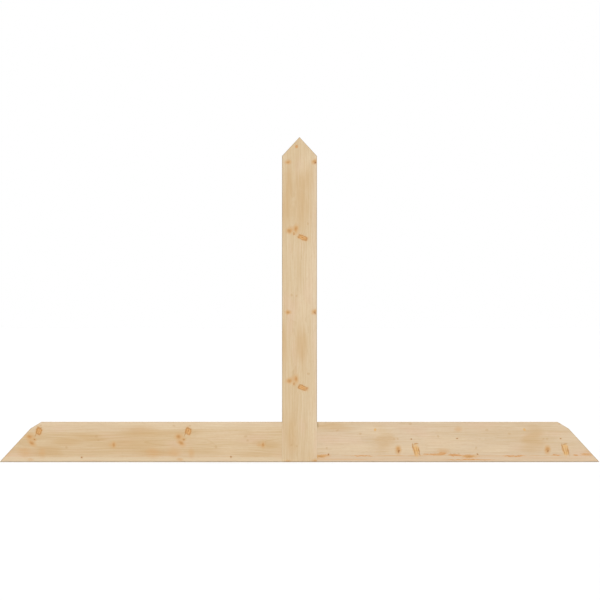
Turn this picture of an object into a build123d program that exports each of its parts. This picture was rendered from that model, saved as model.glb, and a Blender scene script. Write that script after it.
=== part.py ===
from build123d import *
import math
import os

# Timber gable bracket. A king post with a pointed head stands in the middle of a
# level bottom chord, down to its underside. The chord is two arms of equal length.
# Each arm butts against a cheek of the post and carries a stub tenon that is glued
# into a blind mortise there. The head of the post and the outer ends of the arms all
# lie on the two slopes of the roof that the bracket sits under. The arrises are eased
# once the three timbers are glued up, so the easing follows the outline of the whole
# bracket and the joints stay flush.
#
# Millimetres. +X runs along the chord to the right, +Y to the back, which is the
# wall side, and +Z up. The origin is the middle of the underside.

# Roof and overall size
SPAN = 1524.0  # tip to tip along the underside, 60 in
ROOF_RISE = 13.0  # the roof rises this much ...
ROOF_RUN = 12.0  # ... over this much run

# Planed timber sections
POST_WIDTH = 88.9  # face of the post, 3 1/2 in
CHORD_HEIGHT = 101.6  # face of the arms, 4 in
TIMBER_DEPTH = 88.9  # front to back, 3 1/2 in, the same in post and arms
ARRIS_RADIUS = 2.4  # easing of the outline on the front and the back

# The obtuse upper corner at the outer end of each arm is clipped
CLIP_ON_TOP = 12.0  # taken off the top edge
CLIP_ON_CUT = 22.5  # taken off the sloping cut

# Stub tenons and their mortises
TENON_THICKNESS = 30.0  # front to back
UPPER_SHOULDER = 22.0  # from the top of the arm down to the tenon
LOWER_SHOULDER = 25.0  # from the underside of the arm up to the tenon
TENON_LEAD = 2.0  # chamfer round the end of the tenon
MORTISE_WEB = 20.0  # wood left in the post between the two mortises
GLUE_GAP = 1.5  # between the end of a tenon and the bottom of its mortise
CHEEK_GAP = 0.15  # between each side of a tenon and its mortise

# Worked out from the values above
pitch = math.atan2(ROOF_RISE, ROOF_RUN)
apex_height = SPAN / 2 * ROOF_RISE / ROOF_RUN
post_cheek = POST_WIDTH / 2
mortise_depth = (POST_WIDTH - MORTISE_WEB) / 2
tenon_length = mortise_depth - GLUE_GAP
tenon_height = CHORD_HEIGHT - UPPER_SHOULDER - LOWER_SHOULDER
tenon_level = LOWER_SHOULDER + tenon_height / 2


def roof_triangle():
    """The two roof slopes and the line of the underside."""
    return make_face(
        Polyline((-SPAN / 2, 0), (0, apex_height), (SPAN / 2, 0), close=True)
    )


def clipped_corner():
    """The triangle taken off the upper corner at the outer end of the right arm."""
    corner_x = SPAN / 2 - CHORD_HEIGHT * ROOF_RUN / ROOF_RISE
    corner = (corner_x, CHORD_HEIGHT)
    on_top = (corner_x - CLIP_ON_TOP, CHORD_HEIGHT)
    on_cut = (
        corner_x + CLIP_ON_CUT * math.cos(pitch),
        CHORD_HEIGHT - CLIP_ON_CUT * math.sin(pitch),
    )
    return make_face(Polyline(on_top, corner, on_cut, close=True))


def outline():
    """The front of the bracket: post and chord, cut to the roof and clipped."""
    from_below = (Align.CENTER, Align.MIN)
    post = Rectangle(POST_WIDTH, apex_height, align=from_below)
    chord = Rectangle(SPAN, CHORD_HEIGHT, align=from_below)
    clip = clipped_corner()
    roof = roof_triangle() - clip - mirror(clip, about=Plane.YZ)
    return (post + chord) & roof


def glued_up():
    """The three timbers as one block, with the arrises eased on front and back."""
    block = extrude(Plane.XZ * outline(), amount=TIMBER_DEPTH / 2, both=True)
    faces = block.faces().sort_by(Axis.Y)
    return fillet(faces[0].edges() + faces[-1].edges(), ARRIS_RADIUS)


def tenon_block(length, gap):
    """A block on the axis of the tenon that reaches from the cheek into the post."""
    block = Box(
        length,
        TENON_THICKNESS + 2 * gap,
        tenon_height + 2 * gap,
        align=(Align.MAX, Align.CENTER, Align.CENTER),
    )
    return Pos(post_cheek, 0, tenon_level) * block


def tenon():
    """The right arm's tenon. Its end is chamfered, so that it starts easily."""
    block = tenon_block(tenon_length, 0)
    return chamfer(block.faces().sort_by(Axis.X)[0].edges(), TENON_LEAD)


def king_post(block):
    """The part of the block between the two joints, with a mortise in each cheek."""
    right_joint = Plane.YZ.offset(post_cheek)
    left_joint = Plane.YZ.offset(-post_cheek)
    post = split(block, bisect_by=right_joint, keep=Keep.BOTTOM)
    post = split(post, bisect_by=left_joint, keep=Keep.TOP)
    mortise = tenon_block(mortise_depth, CHEEK_GAP)
    return post - mortise - mirror(mortise, about=Plane.YZ)


def right_arm(block):
    """The part of the block beyond the right joint, with its tenon."""
    right_joint = Plane.YZ.offset(post_cheek)
    return split(block, bisect_by=right_joint, keep=Keep.TOP) + tenon()


bracket = glued_up()
pieces = {
    "king_post": king_post(bracket),
    "right_arm": right_arm(bracket),
    "left_arm": mirror(right_arm(bracket), about=Plane.YZ),
}
os.makedirs("parts", exist_ok=True)
for name, piece in pieces.items():
    piece.label = name
    export_step(piece, f"parts/{name}.step")
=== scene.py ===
import math

import bmesh
import bpy
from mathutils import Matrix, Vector


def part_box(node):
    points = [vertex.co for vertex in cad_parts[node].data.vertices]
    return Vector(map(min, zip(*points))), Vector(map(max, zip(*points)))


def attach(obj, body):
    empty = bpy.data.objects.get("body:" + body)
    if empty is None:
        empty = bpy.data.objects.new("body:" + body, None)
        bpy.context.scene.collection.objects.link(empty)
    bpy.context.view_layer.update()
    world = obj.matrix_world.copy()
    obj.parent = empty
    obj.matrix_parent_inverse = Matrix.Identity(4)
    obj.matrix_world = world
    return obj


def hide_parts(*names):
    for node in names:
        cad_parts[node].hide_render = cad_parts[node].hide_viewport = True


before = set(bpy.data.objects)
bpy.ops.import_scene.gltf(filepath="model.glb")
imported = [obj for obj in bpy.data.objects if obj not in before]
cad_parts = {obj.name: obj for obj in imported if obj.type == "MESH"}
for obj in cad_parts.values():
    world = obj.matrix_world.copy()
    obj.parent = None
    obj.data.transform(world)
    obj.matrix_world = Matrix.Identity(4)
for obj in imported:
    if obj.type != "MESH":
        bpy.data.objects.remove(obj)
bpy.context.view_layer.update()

# The glued-up blank
# The bracket is three planed softwood timbers. They are glued up first and then trimmed to the
# slope of the roof and eased all round as one, so the work starts as one block of that outline.
post_low, post_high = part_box("king_post")
chord_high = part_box("right_arm")[1]
TIMBER_DEPTH = post_high.y - post_low.y
CHEEK = post_high.x  # from the middle to the joint
APEX = post_high.z
TIP = chord_high.x  # from the middle to the tip of an arm
CHORD_HEIGHT = chord_high.z
CLIP_ON_TOP = 0.012  # the clip's share of the arm's top edge
CLIP_ON_CUT = 0.0225  # and of its sloping cut
ARRIS_RADIUS = 0.0024
ARRIS_STEPS = 6
FACING = 0.5  # a face looks along an axis if its normal has more than this of it
IN_ONE_PLANE = math.radians(0.1)  # faces that meet at less than this are one


def pick(part, kind, wanted):
    """Selects the faces or edges of the piece in edit mode that pass a test, and no others."""
    bpy.ops.mesh.select_all(action="DESELECT")
    mesh = bmesh.from_edit_mesh(part.data)
    bpy.context.tool_settings.mesh_select_mode = (False, kind == "edges", kind == "faces")
    for item in getattr(mesh, kind):
        if wanted(item):
            item.select_set(True)
    bmesh.update_edit_mesh(part.data)


def cut_away(point, outward):
    """Saws off everything beyond a plane and closes the cut."""
    bpy.ops.mesh.select_all(action="SELECT")
    bpy.ops.mesh.bisect(plane_co=point, plane_no=outward, use_fill=True, clear_outer=True)


def over_the_post(face):
    """True for the piece of the chord's top that lies between the two joints."""
    return face.normal.z > FACING and abs(face.calc_center_median().x) < CHEEK


def on_rim(edge):
    """True for an edge between the front or back face and a side."""
    facing = sorted(abs(face.normal.y) for face in edge.link_faces)
    return facing[0] < FACING < facing[-1]


bpy.ops.object.select_all(action="DESELECT")
bpy.ops.mesh.primitive_cube_add(
    size=1, location=(0, 0, CHORD_HEIGHT / 2), scale=(2 * TIP, TIMBER_DEPTH, CHORD_HEIGHT)
)
blank = bpy.context.object
blank.name = "blank"
bpy.ops.object.transform_apply(location=True, rotation=True, scale=True)
bpy.ops.object.mode_set(mode="EDIT")
slope = Vector((TIP, 0, -APEX)).normalized()  # down the right-hand slope
obtuse_corner = Vector((TIP, 0, 0)) - slope * (CHORD_HEIGHT / abs(slope.z))
clip_top = obtuse_corner - Vector((CLIP_ON_TOP, 0, 0))
clip_foot = obtuse_corner + slope * CLIP_ON_CUT
clip_line = clip_foot - clip_top
for side in (-1, 1):
    cut_away((side * clip_top.x, 0, clip_top.z), (-side * clip_line.z, 0, clip_line.x))
    bpy.ops.mesh.select_all(action="SELECT")
    bpy.ops.mesh.bisect(plane_co=(side * CHEEK, 0, 0), plane_no=(1, 0, 0))
pick(blank, "faces", over_the_post)
bpy.ops.mesh.extrude_region_move(TRANSFORM_OT_translate={"value": (0, 0, APEX - CHORD_HEIGHT)})
for side in (-1, 1):
    cut_away((side * TIP, 0, 0), (-side * slope.z, 0, slope.x))
bpy.ops.mesh.select_all(action="SELECT")
bpy.ops.mesh.dissolve_limited(angle_limit=IN_ONE_PLANE)
pick(blank, "edges", on_rim)
bpy.ops.mesh.bevel(offset=ARRIS_RADIUS, segments=ARRIS_STEPS, affect="EDGES", clamp_overlap=False)
bpy.ops.object.mode_set(mode="OBJECT")

# The king post
# The upright, one piece of planed softwood with its grain running up, pointed to the roof at its
# head. Each cheek has a blind mortise at the foot, into which an arm's stub tenon is glued.
TENON_THICKNESS = 0.030
UPPER_SHOULDER = 0.022  # from the top of an arm down to its tenon
LOWER_SHOULDER = 0.025  # from the underside of an arm up to its tenon
MORTISE_WEB = 0.020  # wood left between the two mortises
MORTISE_DEPTH = CHEEK - MORTISE_WEB / 2
MORTISE_PLAY = 0.00015  # between each side of a tenon and its mortise
JOINT_ROOT = 0.010  # how far a tenon's block reaches back past the cheek
NEAR = 0.00001  # as good as touching
SMOOTH_ANGLE = math.radians(30)
MARK_DEPTH = 0.045  # how deep the patches and marks of the front reach


class Value:
    """A socket in a material's node tree. Operators on it add Math nodes."""

    def __init__(self, tree, socket):
        self.tree = tree
        self.socket = socket

    def node(self, kind, settings, inputs, output=0):
        """Adds any node: its settings first, then the values or links of its sockets."""
        made = self.tree.nodes.new(kind)
        for key, value in settings.items():
            setattr(made, key, value)
        for key, value in inputs.items():
            if isinstance(value, Value):
                self.tree.links.new(value.socket, made.inputs[key])
            else:
                made.inputs[key].default_value = value
        return Value(self.tree, made.outputs[output] if made.outputs else None)

    def math(self, operation, *others):
        """This number and the others, put through a Math node."""
        operands = dict(enumerate((self, *others)))
        return self.node("ShaderNodeMath", {"operation": operation}, operands)

    def __add__(self, other):
        return self.math("ADD", other)

    def __sub__(self, other):
        return self.math("SUBTRACT", other)

    def __mul__(self, other):
        return self.math("MULTIPLY", other)

    def __truediv__(self, other):
        return self.math("DIVIDE", other)

    def __rsub__(self, other):
        return self.node("ShaderNodeMath", {"operation": "SUBTRACT"}, {0: other, 1: self})

    __radd__ = __add__
    __rmul__ = __mul__

    def ramp(self, start, end, low=0.0, high=1.0):
        """An eased rise from low at start to high at end, flat beyond both."""
        return self.node(
            "ShaderNodeMapRange",
            {"interpolation_type": "SMOOTHSTEP"},
            {0: self, 1: start, 2: end, 3: low, 4: high},
        )

    def fade(self, full, gone, share=1.0):
        """A mask from a distance: the whole share up to full, and nothing from gone on."""
        return self.ramp(full, gone, share, 0.0)

    def mixed(self, first, second, blend="MIX"):
        """Colours first and second, mixed by this value."""
        settings = {"data_type": "RGBA", "blend_type": blend}
        return self.node("ShaderNodeMix", settings, {0: self, 6: first, 7: second}, output=2)

    def vector(self, operation, *others, output=0):
        """This vector and the others, put through a Vector Math node."""
        operands = dict(enumerate((self, *others)))
        return self.node("ShaderNodeVectorMath", {"operation": operation}, operands, output)

    def length(self):
        return self.vector("LENGTH", output="Value")

    def component(self, axis):
        """This vector's share along one axis."""
        return self.node("ShaderNodeSeparateXYZ", {}, {0: self}, output=axis)

    def point(self, x, y, z=0.0):
        """A vector made of three numbers, in this value's node tree."""
        return self.node("ShaderNodeCombineXYZ", {}, {0: x, 1: y, 2: z})

    def noise(self, stretch, detail=2.0, output=0):
        """Smooth noise on this vector, as many cells to the metre as stretch says."""
        scaled = self.vector("MULTIPLY", stretch)
        settings = {"noise_dimensions": "3D"}
        inputs = {"Vector": scaled, "Scale": 1.0, "Detail": detail, "Roughness": 0.5}
        return self.node("ShaderNodeTexNoise", settings, inputs, output)

    def sway(self, stretch, detail, reach):
        """A shift to and fro that changes smoothly from place to place, reach wide in all."""
        shift = self.noise(stretch, detail, output="Color").vector("SUBTRACT", (0.5, 0.5, 0.5))
        return shift.vector("MULTIPLY", reach)


def colour(reading):
    """A colour read off a screen, from 0 to 255, as the light that a shader works with."""
    shares = [c / 255 for c in reading]
    return [s / 12.92 if s < 0.04045 else ((s + 0.055) / 1.055) ** 2.4 for s in shares] + [1.0]


NOWHERE = (9.0, 9.0, 1.0, 1.0)  # a spot off the timber, where a list of spots is empty


def nearest(place, spots, longer=1.0, wider=1.0, square=False):
    """How far a place is from the nearest of some oval spots, counted in that spot's radii.

    A spot is its place along and across the timber, its half length and half width, all in
    metres, and its turn, in radians, if it has one. square gives the spots straighter sides.
    """
    distances = []
    for along, across, half_length, half_width, *turn in spots or [NOWHERE]:
        inputs = {
            "Vector": place,
            "Location": (along, across, 0),
            "Rotation": (0, 0, turn[0] if turn else 0),
            "Scale": (half_length * longer, half_width * wider, 1),
        }
        local = place.node("ShaderNodeMapping", {"vector_type": "TEXTURE"}, inputs)
        if square:
            distances.append(local.vector("MULTIPLY", local).length().math("SQRT"))
        else:
            distances.append(local.length())
    least = distances[0]
    for distance in distances[1:]:
        least = least.math("MINIMUM", distance)
    return least


class Softwood:
    """Planed softwood, worked out in the solid, so that faces and end grain belong together.

    grain is the axis along the timber, and pith is where the tree's middle runs: its place across
    the front and its depth behind it. ring is the width of a year's growth, and past the radius
    heart the wood is paler sapwood. early and late are the colours of spring and summer wood.

    The knots are branches, which grow in whorls, one at whorl_at and the others whorl_spacing
    apart, and a knot's place along the timber is counted from its whorl. The kinds are as they
    show on the front. golden is a branch cut across, amber a smaller one, dark a pin knot, and
    faint one just under the face. stroke is a dark line in or beside a knot. glow and haze are
    the wood that a knot colours round it. Those of kind behind come out on other faces, and
    their place across is a bearing round the pith, in radians.

    figure is where the rings bulge to the front, again counted from a whorl. tan and pale are
    broad patches of the front, and resin is runs of resin on it. The last argument is painted
    shade: dark spots in the inner corner where an arm's top meets the post. foot, if there is one,
    gives the height and colour of a strip along its lower edge, and the strength of the resin seam
    on top of that. seed sets one board's noise apart from another's.
    """

    KINDS = ("golden", "amber", "stroke", "dark", "faint", "glow", "haze", "behind")

    def __init__(
        self, name, grain, pith, ring, heart, whorl_at, whorl_spacing, early, late, knots,
        figure, tan, pale, seed, foot=None, resin=(), corner_shade=()
    ):
        self.material = bpy.data.materials.new(name)
        self.material.use_nodes = True
        self.material.node_tree.nodes.clear()
        self.start = Value(self.material.node_tree, None)
        self.grain = grain
        self.pith_across, self.pith_deep = pith
        self.seed = seed
        self.find_places()
        self.grow_branches(whorl_at, whorl_spacing, knots)
        self.grow_rings(ring, figure)
        self.colour_seasons(early, late, heart)
        self.colour_patches(tan, pale)
        self.colour_fibres()
        self.colour_marks(foot, resin, corner_shade)
        self.colour_knots()
        self.colour_end_grain()
        self.colour_glue_and_arris_shade()
        self.make_surface()

    def tint(self, mask, reading, blend="MIX"):
        """Lays a colour over the wood, as much of it as the mask says."""
        self.wood = mask.mixed(self.wood, colour(reading), blend)

    def find_places(self):
        """Where a point lies: along the timber, across its front, and deep behind the front.

        near_front fades with the depth, ragged frays an outline, and brushed breaks up a patch.
        """
        places = self.start.node("ShaderNodeTexCoord", {}, {}, output="Object")
        self.normals = self.start.node("ShaderNodeTexCoord", {}, {}, output="Normal")
        x, y, z = (places.component(axis) for axis in range(3))
        self.along, self.across = (z, x) if self.grain == "Z" else (x, z)
        self.deep = y + TIMBER_DEPTH / 2
        self.near_front = self.deep.fade(0.0, MARK_DEPTH)
        self.board = self.start.point(self.along + self.seed, self.across, self.deep)
        self.face = self.start.point(self.along, self.across)
        self.ragged = self.board.sway((130, 150, 150), 2.5, (0.0058, 0.0052, 0))
        self.brushed = self.board.noise((12.0, 170.0, 170.0)).ramp(0.3, 0.7, 0.7, 1.2)

    def grow_branches(self, whorl_at, whorl_spacing, knots):
        """Branches run straight out from the pith, so a knot is known by its bearing round it.

        to holds how far a place is from the nearest branch of each kind, in that branch's radii.
        """
        self.bearing = (self.across - self.pith_across).math("ARCTAN2", self.pith_deep - self.deep)
        year = ((self.along - whorl_at) / whorl_spacing).math("ROUND")
        self.from_whorl = self.along - whorl_at - year * whorl_spacing
        unrolled = self.start.point(self.from_whorl, self.bearing * self.pith_deep)
        unrolled = unrolled.vector("ADD", self.ragged)
        branches = {kind: [] for kind in self.KINDS}
        for kind, spots in knots.items():
            for along, across, half_length, half_width, *turn in spots:
                if kind == "behind":
                    angle = across
                else:
                    angle = math.atan2(across - self.pith_across, self.pith_deep)
                    half_width = half_width * math.cos(angle) ** 2
                branch = (along, angle * self.pith_deep, half_length, half_width, *turn)
                branches[kind].append(branch)
        self.to = {
            kind: nearest(unrolled, spots, square=kind == "golden")
            for kind, spots in branches.items()
        }
        self.to["amber"] = self.to["amber"].math("MINIMUM", self.to["behind"])
        self.round_golden = nearest(unrolled, branches["golden"], longer=3.0, wider=1.6)
        self.round_behind = nearest(unrolled, branches["behind"], longer=3.0, wider=1.8)

    def grow_rings(self, ring, figure):
        """Growth rings: the distance from a pith that wanders a little, in years.

        Branches push the rings out round them, and some years lay down more summer wood.
        """
        wander = self.board.sway((2.4, 6.0, 6.0), 1.0, (0.016, 0.016, 0))
        waver = self.board.noise((9.0, 55.0, 55.0)) - 0.5
        out = self.start.point(self.across - self.pith_across, self.deep - self.pith_deep)
        self.radius = out.vector("ADD", wander).length()
        swelling = self.round_golden.fade(0.2, 1.3, 0.0022)
        swelling = swelling + self.round_behind.fade(0.2, 1.3, 0.002)
        swelling = swelling + self.to["amber"].fade(0.5, 3.0, 0.0006)
        here = self.start.point(self.from_whorl, self.across)
        bulge = nearest(here, figure).fade(0.0, 1.1, 0.0016)
        grown = self.radius + swelling + bulge + waver * 0.0011
        uneven = self.start.node(
            "ShaderNodeTexNoise",
            {"noise_dimensions": "1D"},
            {"W": grown * 150 + self.seed, "Detail": 1.0},
        )
        years = grown / ring + uneven * 1.8
        season = years.math("FRACT")
        vintage = self.start.node(
            "ShaderNodeTexWhiteNoise", {"noise_dimensions": "1D"}, {"W": years.math("FLOOR")}
        )
        latewood = season.ramp(0.42, 0.92) * season.fade(0.94, 0.995)
        self.latewood = latewood * (vintage * 0.65 + 0.35)

    def colour_seasons(self, early, late, heart):
        """Spring and summer wood, paler sapwood, and broad streaks and clouds along the grain."""
        streak = self.board.noise((1.8, 75.0, 75.0))
        cloud = self.board.noise((4.0, 18.0, 18.0), detail=1.0)
        self.blush = self.board.noise((9.0, 26.0, 26.0), detail=1.0)
        self.wood = self.latewood.mixed(colour(early), colour(late))
        sapwood = (self.radius + (cloud - 0.5) * 0.010).ramp(heart, heart + 0.008)
        self.tint(sapwood * 0.7, (223, 204, 177))
        self.tint(streak.ramp(0.45, 0.75) * 0.07, (204, 172, 130))
        self.tint(cloud.ramp(0.40, 0.75) * 0.27, (206, 175, 128))
        self.tint(self.blush.ramp(0.50, 0.75) * 0.35, (221, 189, 163))

    def colour_patches(self, tan, pale):
        """Darker and paler patches of the front, drawn out along the grain."""
        drift = self.board.sway((9.0, 30.0, 30.0), 1.0, (0.07, 0.022, 0))
        drifted = self.face.vector("ADD", drift)
        patchy = self.near_front * self.brushed
        self.tint(nearest(drifted, tan).fade(0.3, 1.3, 0.44) * patchy, (202, 165, 113))
        self.tint(nearest(drifted, pale).fade(0.3, 1.15, 0.45) * patchy, (226, 206, 175))

    def colour_fibres(self):
        """Fibres, short flecks and thin resin canals, all along the grain."""
        self.fibre = self.board.noise((13.0, 380.0, 380.0), detail=3.0)
        fleck = self.board.noise((110.0, 190.0, 190.0))
        self.canal = self.board.noise((38.0, 850.0, 850.0), detail=0.0).ramp(0.70, 0.78)
        self.tint(self.fibre.fade(0.25, 0.75, 0.45), (236, 220, 196), "MULTIPLY")
        self.tint(fleck.ramp(0.35, 0.75) * 0.16, (204, 170, 126))
        self.tint(self.canal * 0.35, (186, 150, 104))

    def colour_marks(self, foot, resin, corner_shade):
        """The strip along the lower edge and its seam, runs of resin, and painted shade in an
        inner corner.

        weave lets the long ones wander up and down, across the grain.
        """
        weave = self.board.sway((5.0, 40.0, 4.0), 3.0, (0, 0.006, 0))
        woven = self.face.vector("ADD", weave)
        if foot:
            level = woven.component(1) - foot["top"]
            strip = level.fade(-0.003, 0.0)
            self.tint(strip * self.brushed * 0.5, foot["colour"])
            smear = self.board.noise((3.0, 230.0, 60.0), detail=1.0).ramp(0.52, 0.70, 0.0, 0.45)
            self.tint(smear * strip, (212, 162, 112))
            seam = (level - 0.0015).math("ABSOLUTE").fade(0.0003, 0.0018, foot["seam"])
            broken = self.board.noise((16.0, 60.0, 60.0)).ramp(0.40, 0.60)
            self.tint(seam * broken, (212, 162, 110))
        if resin:
            run = nearest(woven.vector("ADD", self.ragged), resin).fade(0.6, 1.25)
            clotted = self.board.noise((90.0, 420.0, 90.0)).ramp(0.34, 0.52, 0.30, 1.0)
            self.tint(run * clotted * self.near_front, (205, 145, 83))
        # painted shade: a dark spot in the inner corner where the arm's top meets the post
        if corner_shade:
            shaded_corner = nearest(self.face.vector("ADD", self.ragged), corner_shade).fade(0.2, 1.4, 0.8)
            self.tint(shaded_corner * self.near_front, (162, 136, 96))

    def colour_knots(self):
        """Each kind of knot from its halo inwards, with its heart last."""
        golden, amber, dark = self.to["golden"], self.to["amber"], self.to["dark"]
        blotch = self.board.noise((130.0, 150.0, 150.0))
        self.tint(self.to["faint"].fade(0.4, 1.25, 0.42), (192, 152, 104))
        self.tint(self.to["haze"].fade(0.1, 1.3, 0.6) * self.brushed, (207, 163, 112))
        self.tint(self.to["glow"].fade(0.4, 1.2, 0.95) * self.brushed, (220, 174, 108))
        self.tint(golden.fade(0.9, 1.9, 0.40), (212, 172, 118))
        rim = golden.fade(0.92, 1.25) * blotch.ramp(0.30, 0.55, 0.45, 1.0)
        self.tint(rim, (189, 135, 75))
        self.tint(golden.fade(0.50, 0.92, 0.9), (219, 170, 109))
        ringed = (golden * 26.0 + blotch * 7.0).math("SINE").ramp(-0.2, 1.0)
        self.tint(ringed * golden.fade(0.75, 0.95, 0.50), (202, 146, 84))
        self.tint((golden + blotch * 0.3).fade(0.15, 0.45, 0.6), (176, 122, 68))
        self.tint(amber.fade(0.9, 2.5, 0.60), (209, 168, 116))
        self.tint(amber.fade(0.6, 1.3), (202, 154, 97))
        self.tint(amber.fade(0.1, 0.7, 0.5), (178, 124, 68))
        self.tint(self.to["stroke"].fade(0.5, 1.5, 0.9), (188, 134, 72))
        self.tint(dark.fade(0.8, 2.4, 0.45), (204, 164, 114))
        self.tint(dark.fade(0.55, 1.2), (166, 113, 64))

    def colour_end_grain(self):
        """End grain drinks in the light, and shows the rings, the rays and the saw's marks."""
        end_grain = self.normals.component(self.grain).math("ABSOLUTE").ramp(0.25, 0.6)
        fan = self.start.point(self.bearing * 26.0, self.radius * 30.0, self.seed)
        rays = fan.noise((1.0, 1.0, 1.0)).ramp(0.52, 0.72, 0.0, 0.4)
        self.sawn = self.board.noise((420.0, 420.0, 14.0)) * end_grain
        self.tint(end_grain * 0.8, (226, 212, 194), "MULTIPLY")
        self.tint(end_grain * self.latewood * 0.55, (178, 137, 90))
        self.tint(rays * end_grain, (192, 154, 108))
        self.tint(self.sawn.ramp(0.45, 0.75, 0.0, 0.35), (196, 162, 118))

    def colour_glue_and_arris_shade(self):
        """The glue line where an arm meets the post, and painted shade on the eased arrises."""
        if self.grain == "X":
            glue = (self.along.math("ABSOLUTE") - CHEEK).fade(0.0001, 0.0007, 0.4)
            self.tint(glue, (158, 128, 88))
        # painted shade: the eased arrises darken, in patches, where they turn away from the front
        facing = self.normals.component(1).math("ABSOLUTE")
        eased = facing.ramp(0.02, 0.20) * facing.fade(0.86, 0.99)
        self.tint(eased * self.blush.ramp(0.3, 0.7, 0.50, 0.75), (170, 146, 114))

    def make_surface(self):
        """Bare wood: matt, a little smoother on summer wood and knots, with a fine relief."""
        golden = self.to["golden"]
        raised = self.latewood * 0.05 + self.fibre * 0.05 - self.canal * 0.05
        raised = raised - golden.fade(0.9, 1.1, 0.12) + self.sawn * 0.35
        relief = {"Height": raised, "Distance": 0.001, "Strength": 0.6}
        inputs = {
            "Base Color": self.wood,
            "Roughness": 0.66 - self.latewood * 0.08 - golden.fade(0.8, 1.1, 0.1),
            "Normal": self.start.node("ShaderNodeBump", {}, relief),
        }
        shader = self.start.node("ShaderNodeBsdfPrincipled", {}, inputs)
        self.start.node("ShaderNodeOutputMaterial", {}, {"Surface": shader})


def take_up(timber):
    """Selects one timber and no other object, for the operators that follow."""
    bpy.ops.object.select_all(action="DESELECT")
    bpy.context.view_layer.objects.active = timber
    timber.select_set(True)


def part_timber(name, belongs):
    """One timber of the blank: parted at the joints, then closed again where it was cut.

    belongs tells by a face's place along the span whether it is this timber's.
    """
    timber = blank.copy()
    timber.data = blank.data.copy()
    timber.name = name
    bpy.context.collection.objects.link(timber)
    take_up(timber)
    bpy.ops.object.mode_set(mode="EDIT")
    for joint in (-CHEEK, CHEEK):
        bpy.ops.mesh.select_all(action="SELECT")
        bpy.ops.mesh.bisect(plane_co=(joint, 0, 0), plane_no=(1, 0, 0), threshold=NEAR)
    pick(timber, "faces", lambda face: not belongs(face.calc_center_median().x))
    bpy.ops.mesh.delete(type="FACE")
    pick(timber, "edges", lambda edge: edge.is_boundary)
    bpy.ops.mesh.fill_holes(sides=0)
    bpy.ops.mesh.select_all(action="SELECT")
    bpy.ops.mesh.normals_make_consistent(inside=False)
    bpy.ops.object.mode_set(mode="OBJECT")
    return timber


def joint_block(side, length, play=0.0, lead=0.0):
    """The block that a tenon is, or that a mortise is cut by.

    side is 1 for the right joint and -1 for the left, play is the room left at each side of the
    tenon, and lead is the chamfer round the block's end.
    """
    wide = TENON_THICKNESS + 2 * play
    foot = LOWER_SHOULDER - play
    head = CHORD_HEIGHT - UPPER_SHOULDER + play
    middle = (side * (CHEEK + (JOINT_ROOT - length) / 2), 0, (head + foot) / 2)
    size = (length + JOINT_ROOT, wide, head - foot)
    bpy.ops.object.select_all(action="DESELECT")
    bpy.ops.mesh.primitive_cube_add(size=1, location=middle, scale=size)
    block = bpy.context.object
    bpy.ops.object.transform_apply(location=True, rotation=True, scale=True)
    if lead:
        bpy.ops.object.mode_set(mode="EDIT")
        end = side * (CHEEK - length)
        pick(block, "edges", lambda edge: all(abs(v.co.x - end) < NEAR for v in edge.verts))
        bpy.ops.mesh.bevel(offset=lead, segments=1, affect="EDGES")
        bpy.ops.object.mode_set(mode="OBJECT")
    return block


def join_by(timber, block, operation):
    """Adds the block to the timber or cuts it out. The block is used up."""
    take_up(timber)
    tool = timber.modifiers.new("joint", "BOOLEAN")
    tool.operation = operation
    tool.solver = "EXACT"
    tool.object = block
    bpy.ops.object.modifier_apply(modifier=tool.name)
    bpy.data.objects.remove(block)


def finish_timber(timber, wood, node):
    """Smooths the eased arrises, gives the timber its wood, hides the CAD piece it takes the place
    of.
    """
    take_up(timber)
    bpy.ops.object.shade_smooth_by_angle(angle=SMOOTH_ANGLE)
    flat = timber.modifiers.new("flat_faces", "WEIGHTED_NORMAL")
    flat.keep_sharp = True
    bpy.ops.object.modifier_apply(modifier=flat.name)
    timber.data.materials.clear()
    timber.data.materials.append(wood.material)
    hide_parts(node)
    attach(timber, "root")


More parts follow.
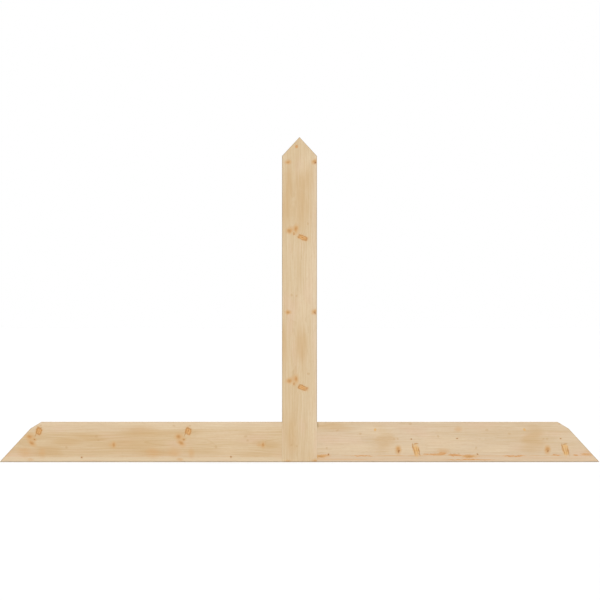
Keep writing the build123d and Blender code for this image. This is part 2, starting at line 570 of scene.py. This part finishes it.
post = part_timber("post_timber", lambda x: abs(x) < CHEEK + NEAR)
for side in (-1, 1):
    join_by(post, joint_block(side, MORTISE_DEPTH, play=MORTISE_PLAY), "DIFFERENCE")
post_wood = Softwood(
    "post_softwood",
    grain="Z",
    pith=(-0.015, 0.056),
    ring=0.0025,
    heart=0.071,
    whorl_at=0.1116,
    whorl_spacing=0.3812,
    early=(217, 196, 162),
    late=(207, 180, 140),
    knots={
        "golden": [(0.0772, 0.0077, 0.0052, 0.0112, 0.45)],
        "amber": [
            (0.0943, -0.0256, 0.0048, 0.0056),
            (0.0999, -0.0092, 0.0072, 0.0042, 0.1),
            (0.0872, -0.0139, 0.0036, 0.0024),
            (-0.1124, -0.0290, 0.0034, 0.0048),
            (-0.1108, 0.0380, 0.0046, 0.0038, 0.3),
        ],
        "stroke": [
            (0.0832, 0.0058, 0.0010, 0.0068, 0.45),
            (0.0768, 0.0082, 0.0007, 0.0066, 0.50),
            (0.0712, 0.0116, 0.0011, 0.0044, 0.35),
        ],
        "dark": [(0.0862, -0.0139, 0.0014, 0.0013), (-0.1136, 0.0392, 0.0034, 0.0030)],
        "faint": [
            (-0.0710, -0.0072, 0.0034, 0.0032),
            (-0.0690, -0.0200, 0.0035, 0.0030),
            (0.1128, 0.0219, 0.0040, 0.0040),
        ],
        "haze": [
            (0.0990, -0.0190, 0.0090, 0.0120),
            (0.0940, -0.0075, 0.0110, 0.0050),
            (-0.1120, -0.0290, 0.0070, 0.0090),
            (-0.1110, 0.0345, 0.0065, 0.0065),
        ],
        "behind": [
            (0.0850, 2.05, 0.0070, 0.0095, 0.2),
            (0.0990, 2.70, 0.0050, 0.0080),
            (-0.1130, -2.20, 0.0050, 0.0070),
            (0.1040, -1.75, 0.0040, 0.0060, -0.3),
        ],
    },
    figure=[(0.150, -0.0155, 0.036, 0.009), (-0.095, -0.016, 0.060, 0.010)],
    tan=[
        (0.640, -0.036, 0.055, 0.018),
        (0.715, 0.010, 0.045, 0.024),
        (0.650, 0.006, 0.085, 0.020),
        (0.690, -0.030, 0.070, 0.012),
        (0.300, 0.004, 0.045, 0.016),
        (0.290, -0.040, 0.060, 0.012),
        (0.060, -0.018, 0.055, 0.018),
    ],
    pale=[
        (0.480, 0.028, 0.095, 0.018),
        (0.760, 0.010, 0.040, 0.016),
        (0.395, 0.010, 0.070, 0.027),
        (0.120, 0.034, 0.090, 0.014),
    ],
    resin=[(0.8010, -0.0080, 0.0040, 0.0042)],
    seed=3.1,
)
finish_timber(post, post_wood, "king_post")

# The left arm
# The left half of the chord, a second board with its own figure. It butts against the post's
# left cheek, with a stub tenon glued into the mortise.
GLUE_GAP = 0.0015  # between the end of a tenon and the bottom of its mortise
TENON_LENGTH = MORTISE_DEPTH - GLUE_GAP
TENON_LEAD = 0.002  # chamfer round the tenon's end
left_arm = part_timber("left_arm_timber", lambda x: x < -CHEEK - NEAR)
join_by(left_arm, joint_block(-1, TENON_LENGTH, lead=TENON_LEAD), "UNION")
left_wood = Softwood(
    "left_arm_softwood",
    grain="X",
    pith=(0.048, 0.060),
    ring=0.0024,
    heart=0.065,
    whorl_at=-0.2329,
    whorl_spacing=0.3791,
    early=(214, 190, 153),
    late=(205, 175, 132),
    knots={
        "golden": [(-0.0498, 0.0780, 0.0070, 0.0082, -0.42)],
        "amber": [
            (-0.0742, 0.0645, 0.0062, 0.0052),
            (-0.0678, 0.0480, 0.0074, 0.0044, -0.7),
            (-0.0610, 0.0575, 0.0034, 0.0030),
            (0.1402, 0.0437, 0.0036, 0.0056),
        ],
        "stroke": [
            (-0.0562, 0.0740, 0.0012, 0.0095, -0.45),
            (-0.0488, 0.0852, 0.0060, 0.0011, 0.10),
            (-0.0500, 0.0785, 0.0009, 0.0060, -0.30),
            (-0.0438, 0.0765, 0.0009, 0.0055, -0.35),
        ],
        "dark": [(-0.0606, 0.0570, 0.0015, 0.0014), (0.0594, 0.0125, 0.0024, 0.0020)],
        "faint": [
            (-0.0452, 0.0925, 0.0035, 0.0026),
            (-0.0857, 0.0920, 0.0050, 0.0030),
            (0.0207, 0.0380, 0.0040, 0.0040),
            (0.0963, 0.0650, 0.0045, 0.0035),
            (0.1007, 0.0550, 0.0035, 0.0030),
        ],
        "haze": [
            (-0.0711, 0.0065, 0.0100, 0.0050),
            (0.1320, 0.0437, 0.0085, 0.0055),
            (-0.0690, 0.0590, 0.0110, 0.0150, -0.4),
            (-0.0416, 0.0235, 0.0100, 0.0150),
            (-0.1396, 0.0240, 0.0200, 0.0150),
            (-0.1396, 0.0200, 0.0110, 0.0060),
            (-0.0860, 0.0260, 0.0200, 0.0150),
        ],
        "behind": [
            (-0.0600, 1.95, 0.0075, 0.0100, 0.2),
            (-0.0740, 2.60, 0.0050, 0.0070),
            (0.1200, 2.30, 0.0045, 0.0050),
            (-0.0500, -2.30, 0.0080, 0.0110, -0.2),
            (-0.0690, -1.60, 0.0045, 0.0060),
            (0.0500, -2.75, 0.0035, 0.0050),
        ],
    },
    figure=[(0.060, 0.056, 0.075, 0.012), (-0.130, 0.062, 0.050, 0.010)],
    tan=[
        (-0.375, 0.026, 0.055, 0.016),
        (-0.395, 0.076, 0.070, 0.015),
        (-0.530, 0.062, 0.060, 0.010),
        (-0.080, 0.045, 0.028, 0.014),
        (-0.640, 0.030, 0.040, 0.016),
        (-0.440, 0.047, 0.100, 0.012),
        (-0.600, 0.052, 0.050, 0.010),
    ],
    pale=[
        (-0.200, 0.068, 0.085, 0.026),
        (-0.085, 0.084, 0.060, 0.018),
        (-0.290, 0.096, 0.230, 0.016),
        (-0.170, 0.030, 0.065, 0.013),
        (-0.600, 0.096, 0.090, 0.007),
    ],
    foot={"top": 0.0140, "colour": (220, 201, 168), "seam": 0.25},
    seed=11.7,
)
finish_timber(left_arm, left_wood, "left_arm")

# The right arm
# The right half of the chord, from a third board with resin along its lower edge. It is the
# left arm's mirror image in shape and is fixed the same way.
right_arm = part_timber("right_arm_timber", lambda x: x > CHEEK + NEAR)
join_by(right_arm, joint_block(1, TENON_LENGTH, lead=TENON_LEAD), "UNION")
right_wood = Softwood(
    "right_arm_softwood",
    grain="X",
    pith=(0.062, 0.058),
    ring=0.0022,
    heart=0.078,
    whorl_at=0.3146,
    whorl_spacing=0.3792,
    early=(217, 197, 169),
    late=(208, 186, 154),
    knots={
        "amber": [
            (-0.0638, 0.0315, 0.0046, 0.0070, -0.15),
            (0.1170, 0.0138, 0.0125, 0.0031, 0.03),
        ],
        "stroke": [
            (-0.0268, 0.0385, 0.0016, 0.0085, 0.12),
            (-0.0222, 0.0270, 0.0013, 0.0085, 0.28),
            (-0.0112, 0.0280, 0.0015, 0.0110, 0.30),
            (-0.0165, 0.0300, 0.0007, 0.0090, 0.28),
            (-0.0190, 0.0460, 0.0058, 0.0013, 0.20),
        ],
        "dark": [
            (-0.0628, 0.0278, 0.0022, 0.0032),
            (-0.0308, 0.0585, 0.0018, 0.0016),
            (0.0856, 0.0592, 0.0022, 0.0015),
            (0.1377, 0.0197, 0.0020, 0.0017),
        ],
        "faint": [
            (-0.0745, 0.0590, 0.0032, 0.0026),
            (-0.0647, 0.0590, 0.0030, 0.0026),
            (-0.1225, 0.0823, 0.0030, 0.0034),
            (-0.0328, 0.0973, 0.0045, 0.0030),
            (-0.1607, 0.0718, 0.0040, 0.0030),
            (0.0374, 0.0652, 0.0030, 0.0040),
            (0.1339, 0.0360, 0.0032, 0.0030),
            (0.1608, 0.0805, 0.0045, 0.0030),
            (0.0690, 0.0215, 0.0028, 0.0024),
            (0.0790, 0.0210, 0.0034, 0.0022),
            (0.0900, 0.0212, 0.0030, 0.0022),
        ],
        "glow": [
            (-0.0182, 0.0315, 0.0095, 0.0170, 0.25),
            (-0.1225, 0.0823, 0.0038, 0.0042),
        ],
        "haze": [
            (-0.0638, 0.0325, 0.0085, 0.0110),
            (0.0400, 0.0200, 0.0170, 0.0050),
            (0.0887, 0.0830, 0.0120, 0.0090),
            (0.0500, 0.0280, 0.0200, 0.0090),
        ],
        "behind": [
            (-0.0300, 2.10, 0.0075, 0.0100, -0.2),
            (-0.0640, 2.75, 0.0045, 0.0060),
            (0.1100, 1.85, 0.0040, 0.0050),
            (-0.0350, -1.90, 0.0070, 0.0095, 0.3),
            (-0.1200, -2.55, 0.0045, 0.0060),
            (0.0400, -1.65, 0.0040, 0.0050),
        ],
    },
    figure=[(-0.080, 0.062, 0.090, 0.010), (0.130, 0.060, 0.055, 0.009)],
    tan=[
        (0.212, 0.060, 0.026, 0.038),
        (0.592, 0.058, 0.028, 0.036),
        (0.080, 0.090, 0.050, 0.012),
    ],
    pale=[
        (0.370, 0.052, 0.075, 0.030),
        (0.130, 0.033, 0.100, 0.019),
        (0.190, 0.078, 0.070, 0.018),
        (0.300, 0.032, 0.120, 0.015),
        (0.480, 0.032, 0.080, 0.012),
    ],
    foot={"top": 0.0150, "colour": (214, 189, 159), "seam": 0.60},
    resin=[
        (0.0525, 0.0152, 0.0105, 0.0034),
        (0.0670, 0.0172, 0.0090, 0.0020),
        (0.1600, 0.0160, 0.0270, 0.0013),
        (0.3217, 0.0190, 0.0080, 0.0015),
        (0.3480, 0.0186, 0.0230, 0.0019),
        (0.3640, 0.0215, 0.0100, 0.0028),
        (0.3975, 0.0165, 0.0180, 0.0024),
        (0.4290, 0.0148, 0.0150, 0.0038),
        (0.3880, 0.0180, 0.0100, 0.0014),
        (0.4350, 0.0052, 0.0650, 0.0010),
        (0.5440, 0.0150, 0.0260, 0.0016),
        (0.6520, 0.0175, 0.0110, 0.0018),
        (0.7016, 0.0175, 0.0070, 0.0016),
        (0.7270, 0.0198, 0.0150, 0.0020),
    ],
    # painted shade in the inner corner between the top of this arm and the post
    corner_shade=[(0.0450, 0.0950, 0.0044, 0.0085)],
    seed=27.3,
)
finish_timber(right_arm, right_wood, "right_arm")
bpy.data.objects.remove(blank)

# The floor, the light and the camera
# A plain white floor runs out of sight under a white sky. The light is soft and even, a little
# stronger from the upper left. The camera stands far off, square to the front.
FLOOR_SIZE = 400.0
FLOOR_WHITE = 0.7  # what the floor throws back on the bracket
FLOOR_SHOWN = 0.88  # what the camera sees of it, just white where nothing shades it
AMBIENT = 0.50  # the sky as a light, though it is seen as plain white
SOFTNESS = math.radians(55)
LENS = 1000.0  # millimetres, so long that nothing is foreshortened
SENSOR = 36.0
EYE_HEIGHT = 0.4115  # half the height of the bracket, less half a pixel
SIDE_STEP = 0.00127  # half a pixel, so that the post's edges fall between pixels
SIGHT = 500.0  # past the far edge of the floor

bpy.ops.object.select_all(action="DESELECT")
bpy.ops.mesh.primitive_plane_add(size=FLOOR_SIZE, location=(0, 0, 0))
floor = bpy.context.object
floor.name = "floor"
floor_paint = bpy.data.materials.new("floor_white")
floor_paint.use_nodes = True
floor_paint.node_tree.nodes.clear()
paint = Value(floor_paint.node_tree, None)
seen = paint.node("ShaderNodeLightPath", {}, {}, output="Is Camera Ray")
white = seen.mixed((FLOOR_WHITE,) * 3 + (1,), (FLOOR_SHOWN,) * 3 + (1,))
matt = paint.node("ShaderNodeBsdfDiffuse", {}, {"Color": white})
paint.node("ShaderNodeOutputMaterial", {}, {"Surface": matt})
floor.data.materials.append(floor_paint)

world = bpy.data.worlds.new("studio")
world.use_nodes = True
world.node_tree.nodes.clear()
sky = Value(world.node_tree, None)
to_camera = sky.node("ShaderNodeLightPath", {}, {}, output="Is Camera Ray")
to_gloss = sky.node("ShaderNodeLightPath", {}, {}, output="Is Glossy Ray")
shown = to_camera.math("MAXIMUM", to_gloss)
sky_light = sky.node(
    "ShaderNodeBackground",
    {},
    {"Color": (1, 1, 1, 1), "Strength": shown * (1 - AMBIENT) + AMBIENT},
)
sky.node("ShaderNodeOutputWorld", {}, {"Surface": sky_light})
bpy.context.scene.world = world


def soft_light(name, source, share):
    """Soft light, the same all over the floor. A share of 1 alone makes white paper white."""
    lamp = bpy.data.lights.new(name, "SUN")
    lamp.angle = SOFTNESS
    lamp.energy = share * math.pi
    holder = bpy.data.objects.new(name, lamp)
    bpy.context.collection.objects.link(holder)
    holder.rotation_euler = Vector(source).to_track_quat("Z", "Y").to_euler()


soft_light("key", (-0.37, -0.53, 0.77), 0.46)
soft_light("fill", (0.69, -0.58, 0.42), 0.30)
soft_light("rear", (0.26, 0.72, 0.64), 0.28)

lens = bpy.data.cameras.new("camera")
lens.lens = LENS
lens.sensor_width = SENSOR
lens.clip_end = SIGHT
camera = bpy.data.objects.new("camera", lens)
bpy.context.collection.objects.link(camera)
stand_off = 2 * TIP * LENS / SENSOR  # where the span fills the frame
camera.location = (SIDE_STEP, post_low.y - stand_off, EYE_HEIGHT)
camera.rotation_euler = (math.radians(90), 0, 0)
bpy.context.scene.camera = camera
bpy.context.scene.view_settings.view_transform = "Standard"
